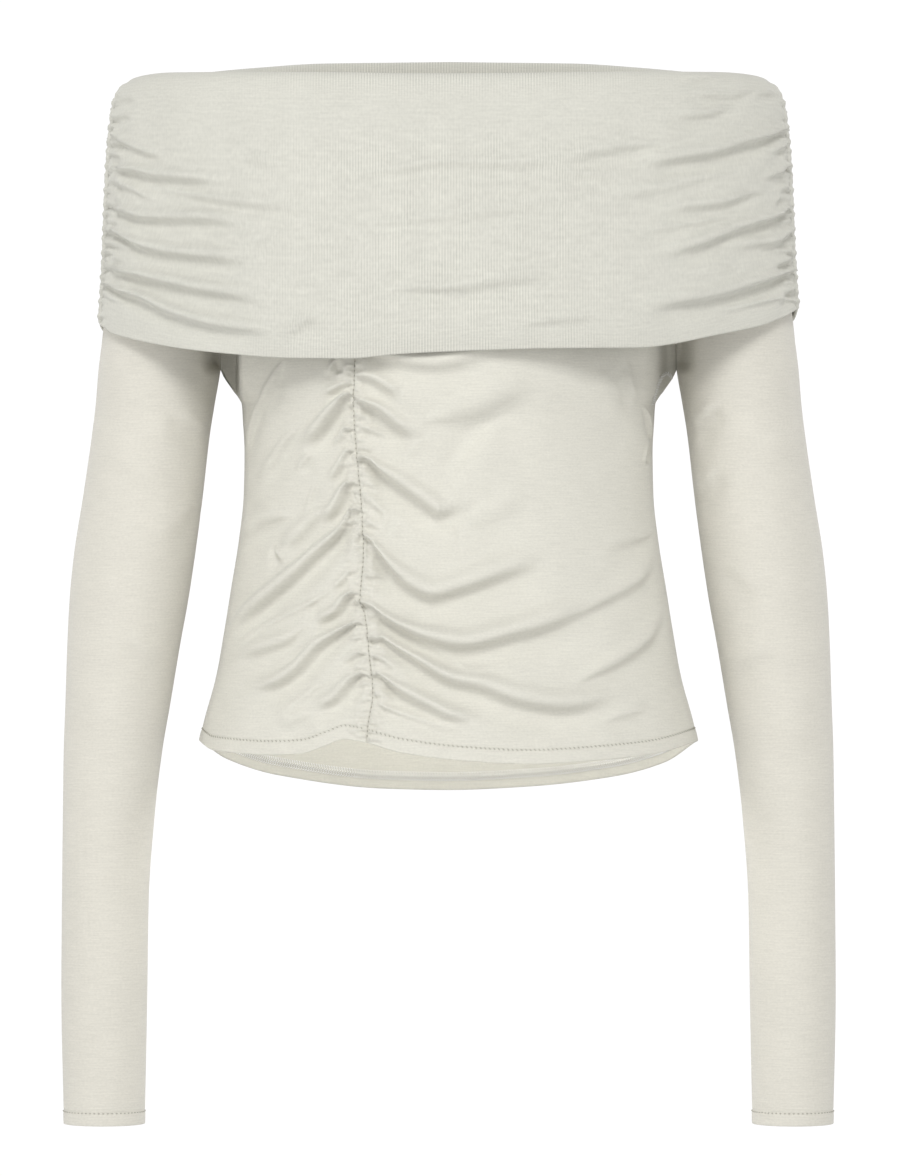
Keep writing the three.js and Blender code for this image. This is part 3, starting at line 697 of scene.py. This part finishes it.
# Where each sleeve's seam shows, as X and Z seen from the front
seam_ways = {
    -1: [(-226, -430), (-223, -510), (-218, -552), (-213, -601), (-207, -641)],
    1: [(166, -344), (177, -404), (181.5, -456), (185, -493), (189, -590), (195.5, -641)],
}


def on_sleeve(x, z):
    """Where X and Z seen from the front lie on a sleeve."""
    outer = arm["outer"](z)
    inner = arm["inner"](z)
    part = np.clip(np.abs((2 * np.abs(x) - outer - inner) / (outer - inner)), 0, 1)
    return np.stack([x, arm["middle"](z) - arm["depth"](z) * np.sqrt(1 - part**2), z + 0 * x], -1)


def sleeve(name, side):
    """A sleeve: a sheet open towards the body above the underarm, and a closed tube below it."""
    upper = np.linspace(neck_seam, underarm, 40)
    cuff_top = cuff + 12
    lower = np.linspace(underarm, cuff_top, 170)[1:]
    levels = np.concatenate([upper, lower, np.linspace(cuff_top, cuff, 22)[1:]])
    share = np.linspace(0, 1, 101)
    z = levels[:, None] + 0 * share
    open_by = arm["open"](z)
    turn = mix(open_by - 90, 270 - open_by, share)
    base = sleeve_point(turn, z)
    ahead = sleeve_point(turn + 0.5, z) - sleeve_point(turn - 0.5, z)
    out = np.stack([ahead[..., 1], -ahead[..., 0], 0 * z], -1)
    out /= np.linalg.norm(out, axis=-1, keepdims=True)
    base[..., 0] *= side
    out[..., 0] *= side
    height = fold_height(base, sleeve_folds[side], on_sleeve, from_seam=False)
    way = path_through(seam_ways[side])
    away, _, _ = nearest(base.reshape(-1, 3), on_sleeve(way[:, 0], way[:, 1]))
    height -= 0.45 * np.exp(-((away.reshape(z.shape) / 0.9) ** 2))
    from_cuff = z - cuff
    height += 0.3 * smooth((cuff_fold - from_cuff) / 1.2)
    height -= 0.4 * np.exp(-(((from_cuff - cuff_stitching) / 0.9) ** 2))
    outer = base + out * height[..., None]
    outer[..., 1] += underarm_tuck(base, underarm - 1)
    inner = outer - out * jersey_thickness
    cuff_row = np.argmin(np.abs(from_cuff[:, 0] - cuff_stitching))
    stitches(name + "_cuff_stitches", outer[cuff_row], out[cuff_row], thread, "sleeve_jersey")
    weave = np.stack([arc_length(base), z, 0.1 + 0 * z], -1)
    if side < 0:
        outer = outer[:, ::-1]
        inner = inner[:, ::-1]
        weave = weave[:, ::-1]
    made = cloth(name + "_cloth", outer, inner, weave, shut_from=len(upper) - 1)
    made.data.materials.append(sleeve_jersey)
    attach(made, "root")
    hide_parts(name)


# Where the seams meet under the right arm, the overlocked edges curl forward in a small tuft
tuft_way = [(126, -17, -201), (128, -16, -192), (131, -14, -185), (135, -12, -181), (139, -10, -184)]
tuft = path_through(tuft_way, 40)
facing_front = np.array([(0.0, -1.0, 0.0)] * len(tuft))
stitches(
    "underarm_overlock_tuft", tuft, facing_front, chain_thread, "sleeve_jersey",
    pitch=1.2, length=1.8, radius=0.45, sway=1.3,
)

sleeve("sleeve_left", -1)
sleeve("sleeve_right", 1)

# Collar: a deep band of the same jersey folded double, turned out over the top and hanging as a
# cape round both arms. It is two pieces, gathered along a ruched seam at each side.
# Its colour is darker than the body's: painted shade on the same jersey.
collar_jersey = jersey("collar_jersey", linear(194, 193, 184), rib=0.8)
collar_thickness = 1.9
collar_seam = 82.0
deepest_collar_fold = 4.6
# The band from the neck seam, over the top fold, down to its hanging edge. Each row is a step, the
# band's half width and its depths in front and behind, how far below the top edge it lies at the
# sides, in front and behind, and the share of the way to the hanging edge, or below 0 to the seam.
band_rows = [
    (0, neck_side, neck_front, neck_back, 0, 0, 0, -1),
    (1, 180, 90, 84, 0, 0, 0, -0.5),
    (2, 178, 89.6, 84.6, 8, 5, 7, 0),
    (3, 184, 92, 86.3, 1.2, 0.8, 0.8, 0),
    (4, 195, 96, 89.8, 0, 0, 0, 0),
    (5, 202.5, 99.4, 93.4, 3.2, 2.6, 3.4, 0),
    (6, 207.4, 101.4, 95.6, 10.5, 9.5, 12, 0),
    (7, 210, 103.2, 96.8, 25, 25, 28, 0),
    (8, 212.2, 106.2, 98, 25, 25, 28, 0.19),
    (9, 213.8, 111.4, 99, 25, 25, 28, 0.47),
    (10, 215, 114, 98.4, 25, 25, 28, 0.72),
    (11, 216.4, 112.8, 97, 25, 25, 28, 0.91),
    (12, 217.2, 109.6, 96, 25, 25, 28, 1),
]
band = columns(("step", "side", "front", "back"), [row[:4] for row in band_rows])
edges = columns(
    ("angle", "top", "bottom"),
    [
        (-180, 18.9, -165),
        (-157, 17.6, -165),
        (-144, 14.3, -164),
        (-128, 9, -162),
        (-112, 4.5, -158),
        (-100, 1, -153),
        (-90, -1.5, -148),
        (-82, 0.6, -150),
        (-73, 2.2, -156),
        (-64, 2.7, -160),
        (-53, 2, -165),
        (-40, 1.1, -170),
        (-26, 0, -173.5),
        (-16, -0.7, -174),
        (-8, -1.3, -171.5),
        (0, -1.5, -170),
        (15, -0.8, -168),
        (32, 0.6, -167),
        (50, 2, -158),
        (62, 2.7, -152),
        (73, 2.3, -145.5),
        (82, 0.6, -141),
        (90, -1.5, -139),
        (100, 1, -146),
        (112, 4.5, -153),
        (128, 9, -159),
        (144, 14.3, -162),
        (157, 17.6, -164),
        (180, 18.9, -165),
    ],
)
# Folds and creases of the collar, written as the body's
collar_front_folds = [
    (-207, -16, -202, -15, -197, -14, -191, -15, 1.8, 1.4),
    (-209, -23, -204, -25, -199, -25, -194, -24, 1.8, 1.4),
    (-210, -36, -207, -36, -205, -37, -202, -37, 1.5, 1),
    (-210, -43, -203, -41, -195, -44, -184, -49, -171, -52, 2.2, 2.2),
    (-211, -48, -207, -48, -204, -49, -201, -50, 1.4, 1),
    (-211, -58, -202, -58, -193, -59, -181, -63, -161, -66, -135, -69, 3.2, 4.7),
    (-211, -66, -202, -68, -195, -70, -188, -74, -178, -77, 2, 1.8),
    (-212, -78, -205, -83, -197, -85, -183, -89, -151, -91, -114, -95, 3.5, 4.4),
    (-212, -95, -203, -98, -188, -106, -170, -111, -142, -115, -113, -119, 3.5, 4.9),
    (-212, -103, -205, -105, -199, -106, -193, -108, 1.8, 1.3),
    (-213, -107, -207, -110, -203, -113, -197, -115, 1.6, 1),
    (-214, -118, -207, -120, -192, -123, -173, -129, -142, -136, -107, -142, 3.5, 5.1),
    (-215, -127, -207, -131, -189, -137, -171, -147, -142, -156, -100, -162, 3.5, 5.1),
    (-215, -133, -211, -136, -207, -138, -201, -139, 1.8, 0.9),
    (211, -32, 199, -37, 181, -43, 163, -50, 138, -55, 109, -60, 3.8, 5.2),
    (212, -38, 208, -43, 203, -46, 196, -48, 1.8, 1.4),
    (213, -51, 208, -57, 201, -61, 192, -64, 2, 2.3),
    (213, -64, 209, -68, 205, -71, 201, -73, 1.8, 1.8),
    (214, -78, 206, -85, 191, -91, 175, -97, 153, -107, 126, -115, 3.5, 5.2),
    (215, -91, 209, -99, 201, -104, 183, -106, 163, -111, 3.5, 2.9),
    (216, -102, 214, -105, 211, -107, 208, -109, 1.5, 1.4),
    (216, -110, 211, -113, 206, -116, 201, -118, 1.8, 1.8),
    (217, -120, 204, -123, 188, -129, 166, -137, 142, -142, 116, -147, 3.8, 6.2),
    (217, -128, 211, -132, 207, -135, 203, -137, 1.8, 1.6),
]
collar_creases = [
    (195, -6, 185, -10, 173, -14, 158, -14, 143, -14, 2.2, 2.1),
    (204, -9, 199, -10, 193, -11, 186, -13, 2, 1.7),
    (166, -3, 158, -3, 149, -4, 141, -7, 2.6, 1.5),
    (183, -15, 171, -21, 157, -27, 133, -29, 3, 2.1),
    (141, -45, 116, -47, 89, -52, 61, -60, 3.8, 2.5),
    (63, -62, 77, -64, 92, -66, 108, -67, 3, 1.8),
    (181, -62, 156, -66, 129, -74, 92, -82, 4, 2.2),
    (203, -70, 188, -73, 167, -81, 146, -84, 122, -88, 3.4, 3.1),
    (190, -85, 169, -89, 141, -95, 107, -101, 2, 1.5),
    (212, -134, 196, -139, 179, -144, 158, -149, 2.4, 1.9),
    (-201, -64, -176, -71, -148, -78, -117, -83, -78, -88, 3, 2.6),
    (-129, -55, -117, -56, -107, -58, -95, -59, 4, 1.2),
    (-127, -106, -118, -106, -110, -106, -100, -107, 4, 1.1),
    (-98, -168, -94, -161, -88, -155, -78, -150, 3, 3.2),
    (-82, -67, -63, -65, -39, -64, -8, -59, 31, -60, 59, -59, 76, -58, 92, -52, 3.4, 1.9),
    (-72, -92, -55, -95, -31, -94, -8, -92, 20, -89, 43, -86, 70, -82, 92, -78, 3.2, 1.4),
    (-47, -137, -27, -135, 9, -135, 40, -130, 72, -127, 4.2, 2.4),
    (38, -157, 62, -154, 82, -153, 96, -151, 3, 1.2),
]
collar_front_folds += tucks(5, -26, -130, 4.4, lambda z: -213.0, 1, 15, 3)
collar_front_folds += tucks(6, -34, -138, 4.4, lambda z: 213.0, -1, 15, 4)
collar_back_folds = [
    (-207, -12, -203, -13, -199, -14, -192, -16, 2.4, 1.8),
    (-209, -30, -190, -37, -160, -42, -128, -44, 5, 3.8),
    (-210, -46, -205, -48, -200, -50, -192, -52, 2.6, 2.1),
    (-211, -62, -192, -70, -158, -80, -120, -86, 5, 4.5),
    (-212, -79, -206, -82, -200, -84, -190, -86, 2.8, 2.3),
    (-212, -96, -194, -102, -168, -110, -140, -114, 5, 3.8),
    (-213, -108, -208, -111, -202, -114, -194, -116, 2.6, 2.1),
    (-214, -122, -188, -132, -150, -146, -104, -152, 5, 4.9),
    (-214, -136, -208, -139, -202, -141, -192, -144, 2.6, 2.1),
    (208, -9, 204, -10, 200, -11, 194, -12, 2.4, 1.8),
    (209, -26, 188, -34, 158, -40, 134, -41, 5, 3.4),
    (210, -41, 205, -43, 200, -44, 192, -46, 2.6, 2.1),
    (211, -54, 190, -64, 160, -72, 112, -78, 5, 4.5),
    (212, -72, 206, -75, 200, -77, 190, -80, 2.8, 2.3),
    (213, -88, 192, -98, 164, -108, 136, -111, 5, 4.2),
    (214, -104, 208, -107, 202, -109, 192, -112, 2.6, 2.3),
    (215, -118, 186, -130, 148, -140, 100, -148, 5, 4.9),
    (215, -128, 210, -130, 204, -133, 196, -136, 2.6, 2.1),
]
collar_back_folds += tucks(9, -8, -150, 4.4, lambda z: -213.0, 1, 14, 3)
collar_back_folds += tucks(4, -4, -138, 4.4, lambda z: 213.0, -1, 14, 3)


def collar_heights(angle, step):
    """Height of the collar at an angle and a step of its cross section, smooth from step to step."""
    at_side = np.abs(np.sin(np.radians(angle))) ** 6
    front = np.cos(np.radians(angle)) > 0
    top = edges["top"](angle)
    bottom = edges["bottom"](angle)
    rows = []
    for _, _, _, _, drop_side, drop_front, drop_back, share in band_rows:
        start = top - mix(np.where(front, drop_front, drop_back), drop_side, at_side)
        end = neck_seam + seam_gap if share < 0 else bottom
        rows.append(mix(start, end, abs(share)))
    heights = np.array(rows)
    bend = bends(np.diff(heights, axis=0))
    i = np.minimum(step.astype(int), len(heights) - 2)

    def pick(table, row):
        return np.take_along_axis(table, row[None], 0)[0]

    ends = pick(heights, i), pick(heights, i + 1), pick(bend, i), pick(bend, i + 1)
    return curve_between(step - i, *ends)


def collar_point(angle, step):
    """A point of the collar at an angle in degrees, 0 in front, and a step of its cross section."""
    angle, step = np.broadcast_arrays(np.asarray(angle, float), np.asarray(step, float))
    a = np.radians(angle)
    depth = np.where(np.cos(a) > 0, band["front"](step), band["back"](step))
    square = np.where(np.cos(a) < 0, 1 + 0.06 * np.sin(2 * a) ** 2, 1.0)
    x = square * band["side"](step) * np.sin(a)
    y = -square * depth * np.cos(a)
    return np.stack([x, y, collar_heights(angle, step)], -1)


def on_collar(facing):
    """Where X and Z seen from the front or back lie on the hanging part of the collar."""
    steps = np.linspace(3.5, 12, 70)[None, :]

    def at(x, z):
        angle = np.degrees(np.arcsin(np.clip(x[:, None] / band["side"](steps), -1, 1)))
        if facing > 0:
            angle = np.sign(x)[:, None] * 180 - angle
        sheet = collar_point(angle, steps)
        down = [np.interp(-pz, -column[:, 2], np.arange(70)) for pz, column in zip(z, sheet)]
        place = [[np.interp(d, np.arange(70), c[:, k]) for k in range(3)] for d, c in zip(down, sheet)]
        return np.array(place)

    return at


def collar(name, first, last, across, folds, creases, facing):
    """One piece of the collar between two angles, all round its fold and down to its hanging edge."""
    gap = np.degrees(0.2 * seam_gap / 110)
    # columns crowd towards the two ruched seams
    share = np.linspace(0, 1, across)
    share = share - 0.085 * np.sin(2 * np.pi * share)
    angle = mix(first + gap, last - gap, share)
    angle = np.where(angle > 180, angle - 360, angle)[None, :]
    rolled = np.concatenate([np.linspace(0, 2, 12)[:-1], np.linspace(2, 7, 44)[:-1]])
    step = np.concatenate([rolled, np.linspace(7, 12, 118)])[:, None]
    base = collar_point(angle, step)
    down = collar_point(angle, np.minimum(step + 0.02, 12)) - collar_point(angle, np.maximum(step - 0.02, 0))
    along = collar_point(angle + 0.2, step) - collar_point(angle - 0.2, step)
    out = np.cross(down, along)
    out /= np.linalg.norm(out, axis=-1, keepdims=True)
    hanging = smooth((step - 4) / 1.5)
    height = fold_height(base, folds, on_collar(facing))
    height += fold_height(base, creases, on_collar(facing), from_seam=False)
    height = deepest_collar_fold * np.tanh(height / deepest_collar_fold) * hanging
    run = arc_length(base)
    to_seam = run[:, -1:] - np.abs(run)
    height *= mix(0.2, 1, smooth(to_seam / 5))
    height -= 1.2 * np.exp(-((to_seam / 1.6) ** 2)) * smooth((step - 3) / 2)
    height += 0.7 * np.exp(-(((to_seam - 6) / 5) ** 2)) * hanging
    level = base[..., 2]
    scallops = 0.55 * np.sin(2 * np.pi * level / 4.9) + 0.5 * np.sin(2 * np.pi * level / 7.7)
    height += scallops * np.exp(-((to_seam / 11) ** 2)) * hanging
    outer = base + out * height[..., None]
    inner = outer - out * collar_thickness
    # the wales show in the middle, along the lower edge and over the top fold
    middle = np.exp(-((np.abs(run) / 105) ** 4))
    low = smooth((step - 10.9) / 0.6)
    high = 1 - smooth((step - 5) / 2)
    calm = smooth((step - 7) / 1.2) * middle
    pull = np.maximum(np.maximum(calm * 0.8, low * middle), high * middle) + 0.08
    weave = np.stack([run, -10 * step + 0 * run, pull], -1)
    if facing < 0:
        from_roll = slice(26, None)
        for column, at in ((0, "first"), (-1, "last")):
            seam = outer[from_roll, column], out[from_roll, column], thread, "collar_jersey"
            stitches("collar_seam_stitches_" + at, *seam, pitch=3.0, length=1.6, radius=0.22)
    made = cloth(name + "_cloth", outer, inner, weave)
    made.data.materials.append(collar_jersey)
    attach(made, "root")
    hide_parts(name)


collar(
    "collar_front", -collar_seam, collar_seam, 216, collar_front_folds, collar_creases,
    -1,
)
collar(
    "collar_back", collar_seam, 360 - collar_seam, 190, collar_back_folds, [],
    1,
)

# Floor, light and camera of a plain studio. The top hangs in its worn form with nobody in it, over a
# pale floor and before a bright white surround. One large soft light is above the front, a weaker
# one at each side, and a very small one inside the hem. Places here are in metres.
floor_half = 7.0
floor_level = -1.3
corners = [(x * floor_half, y * floor_half, floor_level) for x, y in ((-1, -1), (1, -1), (1, 1), (-1, 1))]
floor_mesh = bpy.data.meshes.new("floor")
floor_mesh.from_pydata(corners, [], [(0, 1, 2, 3)])
floor = bpy.data.objects.new("floor", floor_mesh)
bpy.context.scene.collection.objects.link(floor)
floor.data.materials.append(plain("pale_floor", (0.8, 0.8, 0.8), 0.9))

surround = bpy.data.worlds.new("surround")
surround.use_nodes = True
wall = surround.node_tree
facing_way = wall.nodes.new("ShaderNodeTexCoord")
parts = wall.nodes.new("ShaderNodeSeparateXYZ")
wall.links.new(facing_way.outputs["Generated"], parts.inputs[0])
glow = wall.nodes.new("ShaderNodeMapRange")
glow.interpolation_type = "SMOOTHSTEP"
glow.inputs["From Min"].default_value = -0.5
glow.inputs["From Max"].default_value = 0.8
glow.inputs["To Min"].default_value = 0.28
glow.inputs["To Max"].default_value = 1.04
wall.links.new(parts.outputs["Y"], glow.inputs["Value"])
wall.links.new(glow.outputs[0], wall.nodes["Background"].inputs["Strength"])
wall.nodes["Background"].inputs["Color"].default_value = (1, 1, 1, 1)
bpy.context.scene.world = surround


def soft_light(name, place, target, size, power):
    """A square soft light of so many metres and watts, turned to a target."""
    lamp = bpy.data.lights.new(name, "AREA")
    lamp.size = size
    lamp.energy = power
    holder = bpy.data.objects.new(name, lamp)
    holder.location = place
    holder.rotation_euler = (Vector(target) - Vector(place)).to_track_quat("-Z", "Y").to_euler()
    bpy.context.scene.collection.objects.link(holder)


middle_of_top = (0, 0, -0.3)
soft_light("key_light", (0, -4.1, 2.6), middle_of_top, 1.7, 146)
soft_light("fill_light_left", (-3, -2, 0), middle_of_top, 1.8, 43)
soft_light("fill_light_right", (3, -2, 0), middle_of_top, 1.8, 30)
soft_light("inside_light", (0, -0.03, -0.25), (0, 0.09, -0.44), 0.1, 0.38)

# The camera stands level, straight in front; the picture's longer side spans view_height at Y = 0
camera_distance = 4.5
view_height = 0.729
shot = bpy.data.cameras.new("camera")
shot.sensor_width = 36
shot.lens = shot.sensor_width * camera_distance / view_height
shot.clip_end = 100
camera = bpy.data.objects.new("camera", shot)
camera.location = (0.0009, -camera_distance, -0.3137)
camera.rotation_euler = (np.pi / 2, 0, 0)
bpy.context.scene.collection.objects.link(camera)
bpy.context.scene.camera = camera
bpy.context.scene.view_settings.view_transform = "Standard"
